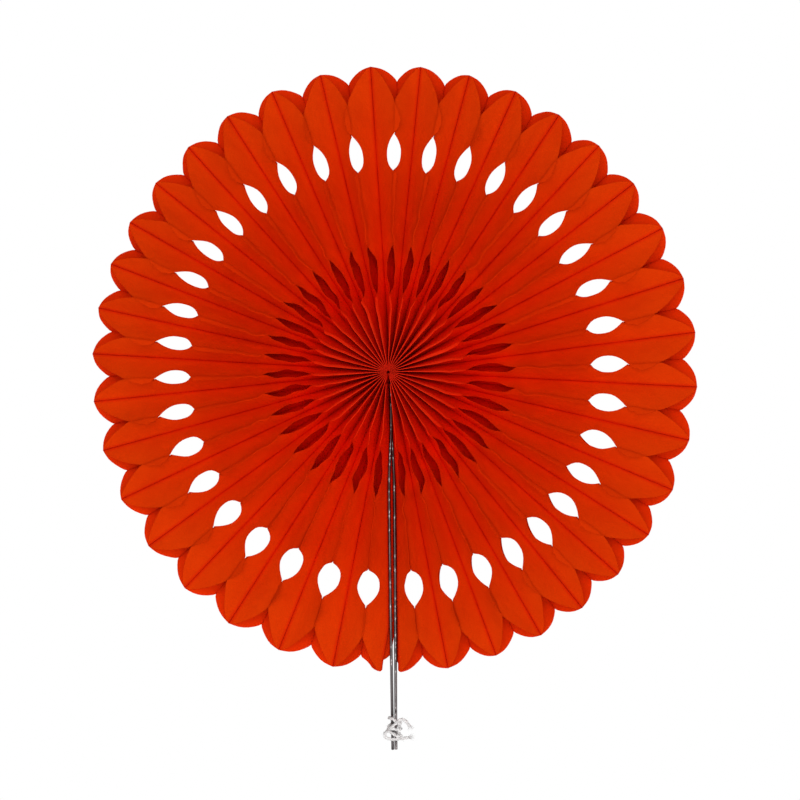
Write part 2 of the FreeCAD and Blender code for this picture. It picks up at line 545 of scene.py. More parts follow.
    def outer_end(self, share: float, seam: float, half: Half, side: Side) -> float:
        """Distance from the hub at which the die cuts a leaf off.

        Args:
            share: Share of the panel, which is more than 1 on the seam.
            seam: Width of the seam, as a share of the panel.
            half: Front or back half.
            side: Which of the two leaves.

        Returns:
            The distance.
        """
        shape = self.shape
        panel_share = min(share, 1.0)
        past_panel = max(0.0, share - 1.0) / seam
        rim = self.sizes.outer_radius
        if self.beside_gap(side):
            from_corner = min(1.0, panel_share / shape.end_leaf_corner)
            rim -= shape.end_leaf_rounding * (1 - from_corner) ** 2
        if half is Half.FRONT:
            radius = rim - shape.point_length * panel_share**shape.point_power
            sideways = past_panel**shape.corner_power
            rounding = 1.0 - math.sqrt(max(0.0, 1.0 - sideways**2))
            return radius - shape.corner_drop * sideways - shape.corner_round * rounding
        past_tip = max(0.0, panel_share - shape.flat_tip) / (1.0 - shape.flat_tip)
        radius = rim - shape.scallop_length * past_tip**2
        return radius - shape.scallop_drop * past_panel

    def stations(self) -> list[float]:
        """Distances from the hub of the rows of a leaf, along its middle crease.

        Returns:
            The distances, close together in the cuts and wider apart between them.
        """
        shape = self.shape
        start = self.sizes.hub_hole_radius + shape.hub_press
        if self.number in (1, self.sizes.cell_count):
            start = shape.end_leaf_start
        inner = shape.inner_cut.ends()
        front = self.front_cut.ends()
        back = shape.back_cut.ends()
        breaks = sorted({start, *inner, *front, *back, self.sizes.outer_radius})
        radii = [start]
        for low, high in zip(breaks, breaks[1:]):
            in_cut = low >= inner[0] and not inner[1] <= low < min(front[0], back[0])
            step = shape.step_in_cuts if in_cut else shape.step_between
            count = max(1, math.ceil((high - low) / step))
            shares = [(i + 1) / count for i in range(count)]
            if in_cut:
                shares = [(1 - math.cos(math.pi * share)) / 2 for share in shares]
            radii += [low + (high - low) * share for share in shares]
        return radii

    def sheet_point(self, station: float, column: float, half: Half, side: Side) -> SheetPoint:
        """Place on the leaf for a row and a column of its grid.

        Args:
            station: Distance of the row from the hub, along the middle crease.
            column: Share of the panel, or 1 and a share of the seam past it.
            half: Front or back half.
            side: Which of the two leaves.

        Returns:
            The place on the leaf.
        """
        shape = self.shape
        front = half is Half.FRONT
        cuts = (shape.inner_cut, self.front_cut) if front else (shape.back_cut,)
        end_zone = cuts[-1].ends()[1] + shape.end_margin
        radius = station
        seam = self.seam_share(radius, half)
        share = column if column <= 1.0 else 1.0 + (column - 1.0) * seam
        if station > end_zone:
            along = (station - end_zone) / (self.sizes.outer_radius - end_zone)
            radius = end_zone + along * (self.outer_end(share, seam, half, side) - end_zone)
            return SheetPoint(radius, share, half)
        full = 1.0 + seam
        limit = min(cut.limit(radius, seam) for cut in cuts)
        return SheetPoint(radius, share * limit / full, half)

    def across(self, share: float) -> float:
        """How far a panel has come from its crease to the ridge, seen from the front.

        Args:
            share: Share of the panel.

        Returns:
            The share of the way, which is level at the crease and at the ridge.
        """
        press_in = self.shape.crease_press
        press_out = self.shape.seam_press
        slope = 1.0 / (1.0 - (press_in + press_out) / 2)
        if share < press_in:
            return slope * share**2 / (2 * press_in)
        if share < 1.0 - press_out:
            return slope * (share - press_in / 2)
        left = 1.0 - share
        return 1.0 - slope * left**2 / (2 * press_out)

    def place(self, point: SheetPoint, side: Side) -> Vector:
        """Where a point of a leaf lies, in the cell's own frame, pointing up.

        Args:
            point: The place on the leaf.
            side: Which of the two leaves.

        Returns:
            The point in millimetres.
        """
        shape = self.shape
        radius = point.radius
        half = point.half
        apart = shape.thickness / 2 - shape.glue_overlap
        apart *= eased(radius, *shape.pressed_span)
        crease = side.value * (self.side_position(radius, side) - apart)
        middle = (
            self.side_position(radius, Side.RIGHT) - self.side_position(radius, Side.LEFT)
        ) / 2
        lean = self.lean(radius, half)
        sway = shape.lean.sway * math.sin(lean) * eased(radius, *shape.lean.sway_span)
        if half is Half.FRONT:
            sway += self.wobbled(radius)
        ridge_x = middle + sway + side.value * apart
        ridge = self.ridge(radius, half)
        share = min(point.share, 1.0)
        x = crease + (ridge_x - crease) * self.across(share)
        y = ridge * share
        x, y = self.waved(x, y, radius, share, side, half)
        if half is Half.BACK and self.beside_gap(side):
            x = self.bowed(x, radius, share, side)
        past = (point.share - 1.0) / self.seam_share(radius, half)
        if past > 0:
            dx, dy = self.seam_reach(past, lean, self.seam_width(radius, half), side)
            x += dx
            y += dy
        return Vector((x, half.value * y, radius))

    def wobbled(self, radius: float) -> float:
        """How far the front edge strays sideways, most of all on its inner half.

        Args:
            radius: Distance from the hub.

        Returns:
            The distance to the right.
        """
        buckles = self.shape.buckles
        reach = eased(radius, *buckles.wobble_rises)
        reach *= 1.0 - buckles.wobble_lost * eased(radius, *buckles.wobble_falls)
        place = (radius / buckles.wobble_length, self.number * buckles.wobble_cell_step, 0.0)
        return buckles.wobble * reach * noise.noise(Vector(place))

    def seam_reach(
        self, past: float, lean: float, width: float, side: Side
    ) -> tuple[float, float]:
        """How far a seam reaches from the ridge, sideways and away from the crease.

        Args:
            past: Share of the seam's width.
            lean: Lean at the seam's edge, in radians.
            width: Width of the seam.
            side: Which of the two leaves.

        Returns:
            The sideways and the outward reach.
        """
        bend = self.shape.lean.bend
        least = self.shape.lean.least
        lean = lean if abs(lean) > least else least
        bent = min(past, bend)
        turn = lean * bent / bend
        straight = max(0.0, past - bend)
        sideways = bend / lean * (1 - math.cos(turn)) + straight * math.sin(lean)
        outward = bend / lean * math.sin(turn) + straight * math.cos(lean)
        apart = side.value * (self.shape.thickness / 2 - self.shape.glue_overlap)
        return (
            width * sideways + apart * (math.cos(turn) - 1),
            width * outward - apart * math.sin(turn),
        )

    def waved(
        self, x: float, y: float, radius: float, share: float, side: Side, half: Half
    ) -> tuple[float, float]:
        """Moves a point of a panel as soft paper buckles.

        Args:
            x: Sideways place.
            y: Height over the middle crease.
            radius: Distance from the hub.
            share: Share of the panel.
            side: Which of the two leaves.
            half: Front or back half.

        Returns:
            The moved sideways place and height.
        """
        buckles = self.shape.buckles
        half_width = self.half_width(radius)
        belly = math.sin(math.pi * share)
        size = buckles.size * half_width * eased(radius, *buckles.size_span)
        place = Vector((
            radius / buckles.length,
            share * buckles.across + half.value * buckles.half_step,
            self.number * buckles.cell_step + side.value * buckles.leaf_step,
        ))
        buckle = size * belly * noise.noise(place)
        curl = self.curl[side] * buckles.curl * belly * eased(radius, *buckles.curl_span)
        return x + 2 * buckle, y + buckle + curl * half_width

    def build(self) -> bmesh.types.BMesh:
        """Makes the two leaves of the cell as open sheets.

        Returns:
            The mesh, in metres, in the fan's frame.
        """
        mesh = bmesh.new()
        for side in Side:
            self.add_leaf(mesh, side)
        bmesh.ops.transform(mesh, matrix=turned(self.middle_angle), verts=mesh.verts)
        return mesh

    def add_leaf(self, mesh: bmesh.types.BMesh, side: Side) -> None:
        """Folds one grid into a die-cut leaf.

        Args:
            mesh: The mesh that takes the leaf.
            side: Which of the two leaves.
        """
        shape = self.shape
        front = list(shape.front_shares) + [1.0 + share for share in shape.front_seam_shares]
        back = list(shape.back_shares) + [1.0 + share for share in shape.back_seam_shares]
        columns = [(c, Half.FRONT) for c in reversed(front)] + [(c, Half.BACK) for c in back[1:]]
        stations = self.stations()
        rows, across = len(stations) - 1, len(columns) - 1
        made = bmesh.ops.create_grid(
            mesh, x_segments=rows, y_segments=across, size=1.0, calc_uvs=False
        )
        uv = mesh.loops.layers.uv.verify()
        places = {}
        for vert in made["verts"]:
            station = stations[round((vert.co.x + 1.0) / 2 * rows)]
            column, half = columns[round((vert.co.y + 1.0) / 2 * across)]
            point = self.sheet_point(station, column, half, side)
            vert.co = self.place(point, side)
            across_leaf = 0.5 + 0.25 * half.value * point.share
            places[vert] = (point.radius / self.sizes.outer_radius, across_leaf)
        for face in {face for vert in made["verts"] for face in vert.link_faces}:
            face.smooth = True
            for loop in face.loops:
                loop[uv].uv = places[loop.vert]
        for edge in {edge for vert in made["verts"] for edge in vert.link_edges}:
            edge.smooth = not edge.is_boundary


class Nodes:
    """Short ways to add and join shader nodes."""

    def __init__(self, name: str) -> None:
        """Starts a material with one plain shader.

        Args:
            name: Name of the material.
        """
        self.material = bpy.data.materials.new(name)
        self.material.use_nodes = True
        self.tree = self.material.node_tree
        self.shader = self.tree.nodes["Principled BSDF"]

    def add(self, kind: str, **values: object) -> bpy.types.Node:
        """Adds a node and sets its own values.

        Args:
            kind: Blender's name of the node type.
            **values: Properties of the node.

        Returns:
            The node.
        """
        node = self.tree.nodes.new(kind)
        for key, value in values.items():
            setattr(node, key, value)
        return node

    def join(self, source: bpy.types.NodeSocket, target: bpy.types.NodeSocket) -> None:
        """Joins two sockets."""
        self.tree.links.new(source, target)

    def noise(self, source: bpy.types.NodeSocket, scale: float, detail: float) -> bpy.types.Node:
        """Adds a noise texture.

        Args:
            source: Where its coordinates come from.
            scale: Features to a metre.
            detail: How many finer layers it has.

        Returns:
            The noise node.
        """
        node = self.add("ShaderNodeTexNoise")
        node.inputs["Scale"].default_value = scale
        node.inputs["Detail"].default_value = detail
        self.join(source, node.inputs["Vector"])
        return node

    def ramp(
        self, source: bpy.types.NodeSocket, stops: Iterable[tuple[float, tuple[float, ...]]]
    ) -> bpy.types.Node:
        """Adds a colour ramp.

        Args:
            source: The value that it reads.
            stops: Place and colour of each stop.

        Returns:
            The ramp node.
        """
        node = self.add("ShaderNodeValToRGB")
        # A new ramp has two stops already, so the first two given take their place.
        elements = node.color_ramp.elements
        for index, (place, colour) in enumerate(stops):
            element = elements[index] if index < 2 else elements.new(place)
            element.position = place
            element.color = (*colour, 1.0)
        self.join(source, node.inputs["Fac"])
        return node

    def mix(
        self,
        blend: str,
        factor: float | bpy.types.NodeSocket,
        first: bpy.types.NodeSocket,
        second: bpy.types.NodeSocket | tuple[float, ...],
    ) -> bpy.types.NodeSocket:
        """Mixes two colours.

        Args:
            blend: How they mix.
            factor: How much of the second, or the socket that says so.
            first: The first colour.
            second: The second colour, or the socket that gives it.

        Returns:
            The mixed colour's socket.
        """
        node = self.add("ShaderNodeMix", data_type="RGBA", blend_type=blend)
        if isinstance(factor, float):
            node.inputs[0].default_value = factor
        else:
            self.join(factor, node.inputs[0])
        self.join(first, node.inputs[6])
        if isinstance(second, tuple):
            node.inputs[7].default_value = (*second, 1.0)
        else:
            self.join(second, node.inputs[7])
        return node.outputs[2]

    def bump(
        self, height: bpy.types.NodeSocket, distance: float, before: bpy.types.Node | None = None
    ) -> bpy.types.Node:
        """Adds a bump and joins it to the shader.

        Args:
            height: The height's socket.
            distance: Height of the relief in metres.
            before: A coarser bump under this one.

        Returns:
            The bump node.
        """
        node = self.add("ShaderNodeBump")
        node.inputs["Distance"].default_value = distance
        self.join(height, node.inputs["Height"])
        if before is not None:
            self.join(before.outputs["Normal"], node.inputs["Normal"])
        self.join(node.outputs["Normal"], self.shader.inputs["Normal"])
        return node

    def let_light_through(self, colour: bpy.types.NodeSocket, share: float) -> None:
        """Lets a share of the light pass through to the other side.

        Args:
            colour: Socket of the colour that the light takes.
            share: How much of the light passes.
        """
        through = self.add("ShaderNodeBsdfTranslucent")
        self.join(colour, through.inputs["Color"])
        mixed = self.add("ShaderNodeMixShader")
        mixed.inputs["Fac"].default_value = share
        self.join(self.shader.outputs["BSDF"], mixed.inputs[1])
        self.join(through.outputs["BSDF"], mixed.inputs[2])
        self.join(mixed.outputs["Shader"], self.tree.nodes["Material Output"].inputs["Surface"])


@dataclass(frozen=True)
class TissueFinish:
    """Dyed tissue paper: matt and mottled, with fibres, a glued crease line with painted crease
    shade, and painted light and shade on its seams and back half.

    The paper's colour is given by share of the radius, with painted bounce light in it: brighter
    and deeper red towards the hub, darker towards the rim.
    """

    # Paper colour with painted bounce light: red rises and green falls towards the hub, standing
    # in for light reflected inside the deep pleats.
    paper_colour_and_painted_bounce: tuple[tuple[float, Colour], ...] = (
        (0.0, (0.98, 0.012, 0.0010)),
        (0.16, (0.98, 0.020, 0.0010)),
        (0.28, (0.97, 0.018, 0.0010)),
        (0.42, (0.87, 0.034, 0.0010)),
        (0.60, (0.79, 0.034, 0.0011)),
        (0.75, (0.76, 0.039, 0.0012)),
        (0.88, (0.74, 0.044, 0.0016)),
    )
    mottle_tint: Colour = (0.94, 0.86, 0.86)
    fibre_tint: Colour = (0.9, 0.9, 0.9)
    # Glued middle crease line, darkened further by painted crease shade.
    glue_and_crease_shade_tint: Colour = (0.95, 0.4, 0.8)
    # Painted shade that darkens the outer front seams against the light that falls on them.
    seam_painted_shade: Colour = (0.91, 0.84, 0.9)
    # Painted light that makes the front seams near the hub lighter and more orange, as lit
    # ridges.
    hub_seam_painted_light: Colour = (1.0, 1.9, 8.0)
    # Painted light on the back half of each leaf, which lies in shade.
    back_painted_light: Colour = (1.13, 0.8, 1.0)
    cloud_scale: float = 55.0
    fibre_scale: float = 2600.0
    wrinkle_scale: float = 160.0
    wrinkle_height: float = 0.0006
    fibre_height: float = 0.00006
    see_through: float = 0.16
    roughness: float = 0.85

    def build(self) -> bpy.types.Material:
        """Makes the material.

        Returns:
            The material.
        """
        nodes = Nodes("orange_tissue_paper")
        coords = nodes.add("ShaderNodeTexCoord")
        leaf = nodes.add("ShaderNodeSeparateXYZ")
        nodes.join(coords.outputs["UV"], leaf.inputs["Vector"])
        outwards, across = leaf.outputs["X"], leaf.outputs["Y"]
        # Paper colour with painted bounce light, by share of the radius.
        painted_bounce_colour = nodes.ramp(outwards, self.paper_colour_and_painted_bounce)
        cloud = nodes.noise(coords.outputs["Object"], self.cloud_scale, 3.0)
        mottle = nodes.ramp(cloud.outputs["Fac"], ((0.3, self.mottle_tint), (0.7, WHITE)))
        fibre = nodes.noise(coords.outputs["Object"], self.fibre_scale, 4.0)
        fibres = nodes.ramp(fibre.outputs["Fac"], ((0.3, self.fibre_tint), (0.7, WHITE)))
        # Glued crease line with painted crease shade along the middle of each leaf.
        glue_and_crease_shade = nodes.ramp(
            across,
            ((0.465, WHITE), (0.497, self.glue_and_crease_shade_tint), (0.503, self.glue_and_crease_shade_tint), (0.535, WHITE)),
        )
        colour = painted_bounce_colour.outputs["Color"]
        for layer in (mottle, fibres, glue_and_crease_shade):
            colour = nodes.mix("MULTIPLY", 1.0, colour, layer.outputs["Color"])
        # Painted light on the front seams near the hub and painted shade on them further out.
        seam = nodes.ramp(
            outwards, ((0.1, self.hub_seam_painted_light), (0.3, WHITE), (0.55, self.seam_painted_shade))
        )
        painted_seam_mask = nodes.ramp(across, ((0.235, WHITE), (0.255, BLACK)))
        colour = nodes.mix("MULTIPLY", painted_seam_mask.outputs["Color"], colour, seam.outputs["Color"])
        # Painted light on the back half of each leaf, which lies in shade.
        back = nodes.ramp(across, ((0.5, WHITE), (0.54, self.back_painted_light)))
        colour = nodes.mix("MULTIPLY", 1.0, colour, back.outputs["Color"])
        nodes.join(colour, nodes.shader.inputs["Base Color"])
        nodes.shader.inputs["Roughness"].default_value = self.roughness
        nodes.shader.inputs["Specular IOR Level"].default_value = 0.0
        wrinkle = nodes.noise(coords.outputs["Object"], self.wrinkle_scale, 3.0)
        coarse = nodes.bump(wrinkle.outputs["Fac"], self.wrinkle_height)
        nodes.bump(fibre.outputs["Fac"], self.fibre_height, coarse)
        nodes.let_light_through(colour, self.see_through)
        return nodes.material


@dataclass(frozen=True)
class SteelFinish:
    """Drawn bright steel wire with fine lengthwise marks."""

    dark: Colour = (0.03, 0.024, 0.024)
    bright: Colour = (0.24, 0.215, 0.215)
    smoothest: Colour = (0.3, 0.3, 0.3)
    roughest: Colour = (0.4, 0.4, 0.4)
    mark_scale: float = 2400.0
    mark_stretch: tuple[float, float, float] = (1.0, 1.0, 0.04)
    mark_height: float = 0.00001

    def build(self) -> bpy.types.Material:
        """Makes the material.

        Returns:
            The material.
        """
        nodes = Nodes("drawn_steel_wire")
        coords = nodes.add("ShaderNodeTexCoord")
        stretch = nodes.add("ShaderNodeMapping")
        stretch.inputs["Scale"].default_value = self.mark_stretch
        nodes.join(coords.outputs["Object"], stretch.inputs["Vector"])
        marks = nodes.noise(stretch.outputs["Vector"], self.mark_scale, 4.0)
        tone = nodes.ramp(marks.outputs["Fac"], ((0.2, self.dark), (0.75, self.bright)))
        rough = nodes.ramp(marks.outputs["Fac"], ((0.3, self.smoothest), (0.7, self.roughest)))
        nodes.join(tone.outputs["Color"], nodes.shader.inputs["Base Color"])
        nodes.join(rough.outputs["Color"], nodes.shader.inputs["Roughness"])
        nodes.shader.inputs["Metallic"].default_value = 1.0
        nodes.bump(marks.outputs["Fac"], self.mark_height)
        return nodes.material


@dataclass(frozen=True)
class CottonFinish:
    """Bleached cotton string, soft and slightly grey in its hollows."""

    shade: Colour = (0.4, 0.38, 0.38)
    light: Colour = (0.86, 0.84, 0.83)
    fibre_scale: float = 3800.0
    fibre_height: float = 0.00005
    roughness: float = 0.9

    def build(self) -> bpy.types.Material:
        """Makes the material.

        Returns:
            The material.
        """
        nodes = Nodes("white_cotton_string")
        coords = nodes.add("ShaderNodeTexCoord")
        fibres = nodes.noise(coords.outputs["Object"], self.fibre_scale, 5.0)
        tone = nodes.ramp(fibres.outputs["Fac"], ((0.3, self.shade), (0.6, self.light)))
        nodes.join(tone.outputs["Color"], nodes.shader.inputs["Base Color"])
        nodes.shader.inputs["Roughness"].default_value = self.roughness
        nodes.bump(fibres.outputs["Fac"], self.fibre_height)
        return nodes.material


def add_piece(
    name: str,
    mesh: bmesh.types.BMesh,
    material: bpy.types.Material,
    replaced: Iterable[str],
) -> bpy.types.Object:
    """Turns a mesh into a piece of the fan that stands for its solids.

    Args:
        name: Name of the piece.
        mesh: Its mesh, which is freed.
        material: Its finish.
        replaced: Names of the solids that it stands for.

    Returns:
        The object.
    """
    data = bpy.data.meshes.new(name)
    mesh.to_mesh(data)
    mesh.free()
    data.materials.append(material)
    piece = bpy.data.objects.new(name, data)
    bpy.context.scene.collection.objects.link(piece)
    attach(piece, BODY)
    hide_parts(*replaced)
    return piece


@dataclass
class Rosette:
    """The ring of hollow tissue cells."""

    sizes: FanSizes = field(default_factory=FanSizes)
    shape: LeafShape = field(default_factory=LeafShape)
    finish: TissueFinish = field(default_factory=TissueFinish)

    def build(self) -> list[bpy.types.Object]:
        """Makes each cell as one piece.

        Returns:
            The pieces.
        """
        material = self.finish.build()
        angles = self.sizes.crease_angles()
        chance = random.Random(SEED)
        pieces = []
        for number, (first, second) in enumerate(zip(angles, angles[1:]), start=1):
            cell = Cell(self.sizes, self.shape, number, first, second, chance)
            name = f"tissue_cell_{number:02d}"
            piece = add_piece(
                name, cell.build(), material, [f"paper_cell_{number:02d}"]
            )
            self.thicken(piece)
            pieces.append(piece)
        return pieces

    def thicken(self, piece: bpy.types.Object) -> None:
        """Gives the leaves of a cell their paper thickness, less of it at the hub.

        Args:
            piece: The cell.
        """
        shape = self.shape
        group = piece.vertex_groups.new(name="paper")
        for vert in piece.data.vertices:
            radius = math.hypot(vert.co.x, vert.co.z) / MM
            weight = between(radius, *shape.pressed_span, shape.pressed_share, 1.0)
            group.add([vert.index], weight, "REPLACE")
        wall = piece.modifiers.new("thickness", "SOLIDIFY")
        wall.thickness = shape.thickness * MM
        wall.offset = 0.0
        wall.vertex_group = group.name


def smooth_path(corners: list[Vector], step: float) -> list[Vector]:
    """Runs a smooth curve through corners.

    Args:
        corners: The points that it meets.
        step: Greatest distance between two points of the curve.

    Returns:
        Points along the curve.
    """
    padded = [2 * corners[0] - corners[1], *corners, 2 * corners[-1] - corners[-2]]
    points = [corners[0]]
    for before, start, end, after in zip(padded, padded[1:], padded[2:], padded[3:]):
        count = max(2, math.ceil((end - start).length / step))
        leaving = start + (end - before) / 6
        arriving = end - (after - start) / 6
        points += interpolate_bezier(start, leaving, arriving, end, count + 1)[1:]
    return points


def frames_along(points: list[Vector], radii: list[float]) -> list[Matrix]:
    """Sets a frame at each point of a path, without twist.

    Args:
        points: Points along the path.
        radii: Scale of the frame at each point.

    Returns:
        Frames whose Z axis follows the path.
    """
    heading = (points[1] - points[0]).normalized()
    turn = heading.to_track_quat("Z", "Y")
    frames = []
    for index, (point, radius) in enumerate(zip(points, radii)):
        before = points[max(index - 1, 0)]
        after = points[min(index + 1, len(points) - 1)]
        ahead = (after - before).normalized()
        turn = heading.rotation_difference(ahead) @ turn
        heading = ahead
        frames.append(
            Matrix.Translation(point) @ turn.to_matrix().to_4x4() @ Matrix.Scale(radius, 4)
        )
    return frames


def sweep(mesh: bmesh.types.BMesh, frames: list[Matrix], sides: int) -> None:
    """Draws a closed round strand through frames.

    Args:
        mesh: The mesh that takes it.
        frames: Place, heading and radius of each ring.
        sides: Sides of a ring.
    """
    first = bmesh.ops.create_circle(
        mesh, cap_ends=True, segments=sides, radius=1.0, matrix=frames[0]
    )
    cap = first["verts"][0].link_faces[0]
    for before, after in zip(frames, frames[1:]):
        grown = bmesh.ops.extrude_face_region(mesh, geom=[cap])["geom"]
        ring = [item for item in grown if isinstance(item, bmesh.types.BMVert)]
        cap = next(item for item in grown if isinstance(item, bmesh.types.BMFace))
        bmesh.ops.transform(mesh, matrix=after @ before.inverted(), verts=ring)


def finish_strands(mesh: bmesh.types.BMesh, to_fan: Matrix) -> None:
    """Carries strands to their place, with faces outwards and round sides smooth.

    Args:
        mesh: The mesh that holds them.
        to_fan: Where they go, in metres.
    """
    bmesh.ops.transform(mesh, matrix=to_fan, verts=mesh.verts)
    bmesh.ops.recalc_face_normals(mesh, faces=mesh.faces)
    for face in mesh.faces:
        face.smooth = len(face.verts) == 4


@dataclass(frozen=True)
class EndWire:
    """One of the two steel wires, slightly bowed, glued to an end leaf."""

    side: Side
    offsets: tuple[Span, ...]
    sizes: FanSizes = field(default_factory=FanSizes)
    depth_in_stem: float = 0.3
    level_from: float = 70.0
    step: float = 3.0
    ring_sides: int = 16
    burr: float = 0.15

    def build(self) -> bmesh.types.BMesh:
        """Makes the wire from near the hub to its cut end.

        Returns:
            The mesh, in metres.
        """
        stacked = self.sizes.wire_radius + self.sizes.wire_clearance / 2
        corners = []
        for radius, offset in self.offsets:
            depth = between(
                radius, self.sizes.stacked_until, self.level_from, stacked, self.depth_in_stem
            )
            x = -self.side.value * offset
            corners.append(Vector((x, self.side.value * depth, radius)))
        points = smooth_path(corners, self.step)
        first_way = (points[1] - points[0]).normalized()
        last_way = (points[-1] - points[-2]).normalized()
        points.insert(1, points[0] + first_way * self.burr)
        points.insert(-1, points[-1] - last_way * self.burr)
        radius = self.sizes.wire_radius
        radii = [radius - self.burr] + [radius] * (len(points) - 2) + [radius - self.burr]
        mesh = bmesh.new()
        sweep(mesh, frames_along(points, radii), self.ring_sides)
        finish_strands(mesh, turned(self.sizes.gap_angle_from_top))
        return mesh


@dataclass(frozen=True)
class CottonTie:
    """Soft two-ply string, wound and crossed round both wires, with frayed ends."""

    route: tuple[tuple[float, float, float], ...] = (
        (9.2, 0.6, -177.2), (7.6, -0.7, -174.6), (5.4, -1.9, -173.3), (3.0, -2.9, -174.9),
        (0.4, -2.3, -177.1), (-1.1, -0.3, -177.4), (0.6, 1.9, -176.4), (3.4, 1.9, -175.6),
        (5.0, 0.2, -175.6), (3.9, -1.7, -175.4), (2.4, -1.7, -174.2), (0.9, -1.9, -173.0),
        (-0.9, -0.6, -172.9), (0.6, 1.9, -174.0), (3.4, 2.0, -177.0), (5.0, 0.3, -178.5),
        (3.8, -1.9, -178.6), (0.9, -2.1, -178.0), (-1.2, -0.9, -178.2), (0.5, 1.9, -179.3),
        (3.6, 1.8, -181.0), (5.1, 0.1, -182.1), (3.6, -2.0, -181.8), (1.5, -2.3, -180.6),
        (-0.9, -1.8, -179.4), (-2.4, -0.9, -179.9), (-3.0, -0.6, -181.3),
        (-2.3, -1.3, -182.7), (-0.2, -2.1, -183.2), (2.5, -2.3, -183.3), (5.2, -1.8, -183.0),
        (7.5, -1.0, -182.8), (9.4, -0.2, -182.7),
    )
    ply_radius: float = 0.52
    ply_offset: float = 0.33
    lay: float = 4.2
    step: float = 0.4
    ring_sides: int = 8
    swell: float = 0.08
    swell_pace: float = 1.7
    tip: float = 0.6
    loose_fibres: int = 110
    loose_reach: Span = (0.9, 1.5)
    loose_ahead: float = 0.25
    end_fibres: int = 46
    end_reach: Span = (0.1, 1.5)
    end_ahead: float = 2.2
    fibre_radius: float = 0.04
    fibre_root: float = 0.6
    fibre_taper: float = 0.6
    fibre_bend: Span = (-0.5, 0.5)
    fibre_run: Span = (0.5, 1.2)
    fibre_sides: int = 3
    fibre_shares: tuple[float, ...] = (0.0, 0.35, 0.7, 1.0)

    def build(self) -> bmesh.types.BMesh:
        """Makes the two plies and the fibres that stand off them.

        Returns:
            The mesh, in metres.
        """
        mesh = bmesh.new()
        middle = smooth_path([Vector(corner) for corner in self.route], self.step)
        frames = frames_along(middle, [1.0] * len(middle))
        for start in (0.0, math.pi):
            self.add_ply(mesh, frames, start)
        chance = random.Random(SEED)
        for _ in range(self.loose_fibres):
            frame = chance.choice(frames)
            reach = chance.uniform(*self.loose_reach)
            self.add_fibre(mesh, frame, chance, reach, self.loose_ahead)
        for frame, ahead in ((frames[0], -1.0), (frames[-1], 1.0)):
            for _ in range(self.end_fibres):
                reach = chance.uniform(*self.end_reach)
                self.add_fibre(mesh, frame, chance, reach, self.end_ahead * ahead)
        finish_strands(mesh, Matrix.Scale(MM, 4))
        return mesh

    def add_ply(self, mesh: bmesh.types.BMesh, frames: list[Matrix], start: float) -> None:
        """Adds one ply, twisted round the middle of the string.

        Args:
            mesh: The mesh that takes it.
            frames: Frames along the middle of the string.
            start: Angle at which it begins, in radians.
        """
        points = []
        way = 0.0
        for index, frame in enumerate(frames):
            if index > 0:
                way += (frame.translation - frames[index - 1].translation).length
            turn = start + 2 * math.pi * way / self.lay
            offset = Vector((math.cos(turn), math.sin(turn), 0.0)) * self.ply_offset
            points.append(frame @ offset)
        swells = [self.swell * math.sin(self.swell_pace * i) for i in range(len(points))]
        radii = [self.ply_radius * (1 + swell) for swell in swells]
        radii[0] = radii[-1] = self.tip * self.ply_radius
        sweep(mesh, frames_along(points, radii), self.ring_sides)

    def add_fibre(
        self,
        mesh: bmesh.types.BMesh,
        frame: Matrix,
        chance: random.Random,
        reach: float,
        ahead: float,
    ) -> None:
        """Adds one fine fibre that leaves the string.

        Args:
            mesh: The mesh that takes it.
            frame: Frame of the string where it starts.
            chance: Source of its direction.
            reach: How far it stands off sideways.
            ahead: How far it runs along the string.
        """
        turn = chance.uniform(0, 2 * math.pi)
        out = Vector((math.cos(turn), math.sin(turn), 0.0))
        bend = chance.uniform(*self.fibre_bend)
        side = Vector((-math.sin(turn), math.cos(turn), 0.0)) * bend
        along = Vector((0.0, 0.0, ahead * chance.uniform(*self.fibre_run)))
        start = self.ply_offset + self.fibre_root * self.ply_radius
        points = []
        for share in self.fibre_shares:
            offset = out * (start + reach * share) + side * share**2 + along * share
            points.append(frame @ offset)
        radii = [self.fibre_radius * (1.0 - self.fibre_taper * s) for s in self.fibre_shares]
        sweep(mesh, frames_along(points, radii), self.fibre_sides)


LEFT_OFFSETS = (
    (4.6, 0.0), (18.0, 0.02), (30.0, 0.12), (42.0, 0.75), (56.0, 1.3), (80.0, 1.35),
    (115.0, 1.25), (147.6, 1.05), (172.0, 0.92), (189.0, 0.82),
)
RIGHT_OFFSETS = (
    (4.6, 0.0), (18.0, 0.02), (30.0, 0.12), (42.0, 0.7), (56.0, 1.15), (80.0, 1.2),
    (115.0, 1.1), (147.6, 0.95), (172.0, 0.82), (189.0, 0.78),
)


@dataclass
class Stem:
    """The two end wires and the string that ties them together."""

    steel: SteelFinish = field(default_factory=SteelFinish)
    cotton: CottonFinish = field(default_factory=CottonFinish)

    def build(self) -> list[bpy.types.Object]:
        """Makes the wires and the tie.

        Returns:
            The pieces.
        """
        steel = self.steel.build()
        pieces = []
        for name, side, offsets in (
            ("left", Side.LEFT, LEFT_OFFSETS),
            ("right", Side.RIGHT, RIGHT_OFFSETS),
        ):
            mesh = EndWire(side, offsets).build()
            pieces.append(
                add_piece(f"{name}_end_wire", mesh, steel, [f"{name}_wire"])
            )
        mesh = CottonTie().build()
        pieces.append(
            add_piece("cotton_tie", mesh, self.cotton.build(), ["tie_string"])
        )
        return pieces


@dataclass(frozen=True)
class Lamp:
    """A large square lamp that faces the fan, with its power in watts."""

    name: str
    place: tuple[float, float, float]
    power: float
    size: float = 700.0

    def build(self) -> None:
        """Hangs the lamp up."""
        data = bpy.data.lights.new(self.name, "AREA")
        data.size = self.size * MM
        data.energy = self.power
        lamp = bpy.data.objects.new(self.name, data)
        lamp.location = Vector(self.place) * MM
        lamp.rotation_mode = "QUATERNION"
        lamp.rotation_quaternion = (-Vector(self.place)).to_track_quat("-Z", "Y")
        bpy.context.scene.collection.objects.link(lamp)


